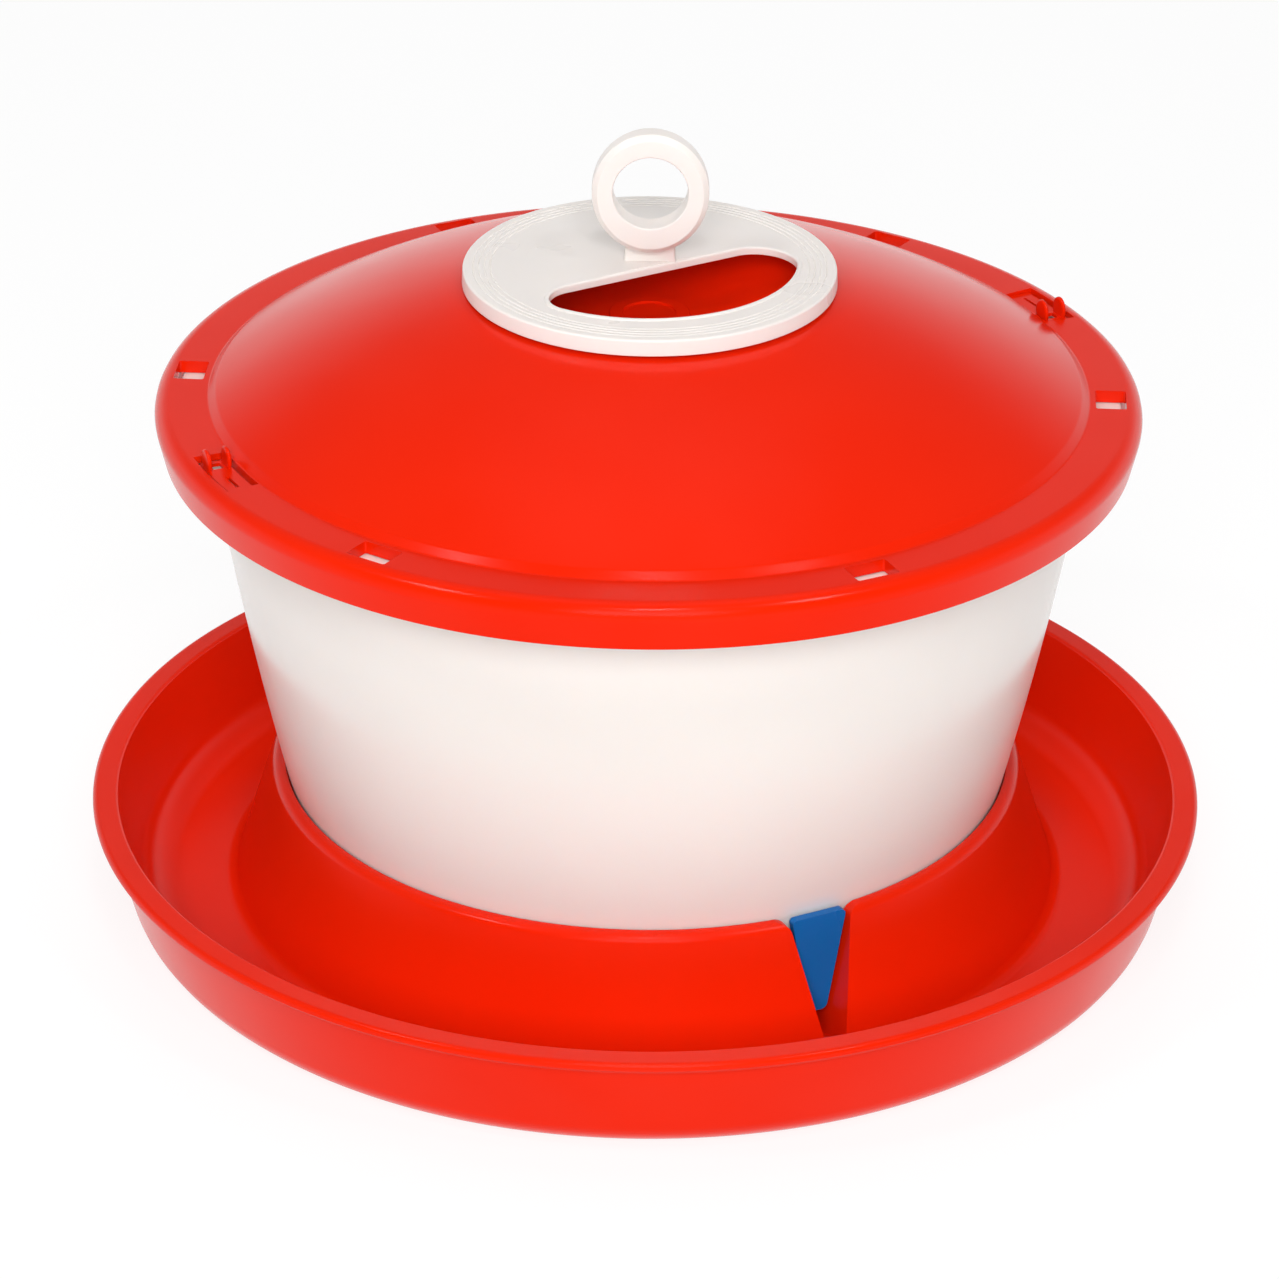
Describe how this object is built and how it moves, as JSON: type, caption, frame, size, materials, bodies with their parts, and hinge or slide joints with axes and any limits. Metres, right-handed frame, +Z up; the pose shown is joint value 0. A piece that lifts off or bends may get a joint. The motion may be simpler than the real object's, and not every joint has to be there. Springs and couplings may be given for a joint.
{
  "type": "poultry_waterer",
  "caption": "Top-fill poultry drinker: red trough tray, tapered white bucket, domed red lid with a hanging-ring cap, and a blue rotary outlet valve.",
  "frame": {"origin": "On the axis of revolution, in the plane of the tray's foot ring that stands on the ground.", "axes": "+Z up along the axis of revolution; -Y is the front, the side the ring's flat face looks to; +X to the right seen from the front."},
  "size_m": [0.4, 0.4, 0.2893],
  "materials": {
    "red_plastic": "gloss",
    "white_plastic": "satin",
    "cap_plastic": "satin",
    "blue_plastic": "gloss",
    "seal_rubber": "matte"
  },
  "bodies": {
    "tray": {"trough_base": "red_plastic"},
    "valve": {"valve_disc": "blue_plastic"},
    "bucket": {"reservoir_bucket": "white_plastic", "valve_seal": "seal_rubber", "valve_pivot_pin": "cap_plastic"},
    "gasket": {"lid_gasket": "seal_rubber"},
    "lid": {"lid_shell": "red_plastic"},
    "rear_tongue": {"latch_tongue_rear": "red_plastic"},
    "front_tongue": {"latch_tongue_front": "red_plastic"},
    "cap": {"hanger_cap": "cap_plastic"}
  },
  "joints": [
    {"name": "bucket_lift", "type": "slide", "parent": "tray", "child": "valve", "axis": [0, 0, 1], "range_m": [0, 0.12]},
    {"name": "bucket_turn", "type": "hinge", "parent": "valve", "child": "bucket", "pos_m": [0, 0, 0.044], "axis": [0, 0, 1], "range_deg": [0, 40]},
    {"name": "lid_lift", "type": "slide", "parent": "bucket", "child": "gasket", "axis": [0, 0, 1], "range_m": [0, 0.1]},
    {"name": "lid_turn", "type": "hinge", "parent": "gasket", "child": "lid", "pos_m": [0, 0, 0.19], "axis": [0, 0, 1], "range_deg": [-24, 0]},
    {"name": "rear_tongue_lift", "type": "hinge", "parent": "lid", "child": "rear_tongue", "pos_m": [0.13451, 0.08636, 0.19375], "axis": [-0.8415, -0.5402, 0], "range_deg": [0, 8], "stiffness_Nm_per_rad": 0.5},
    {"name": "front_tongue_lift", "type": "hinge", "parent": "lid", "child": "front_tongue", "pos_m": [-0.13451, -0.08636, 0.19375], "axis": [0.8415, 0.5402, 0], "range_deg": [0, 8], "stiffness_Nm_per_rad": 0.5},
    {"name": "cap_swivel", "type": "hinge", "parent": "lid", "child": "cap", "pos_m": [0, 0, 0.235], "axis": [0, 0, 1], "continuous": true}
  ]
}
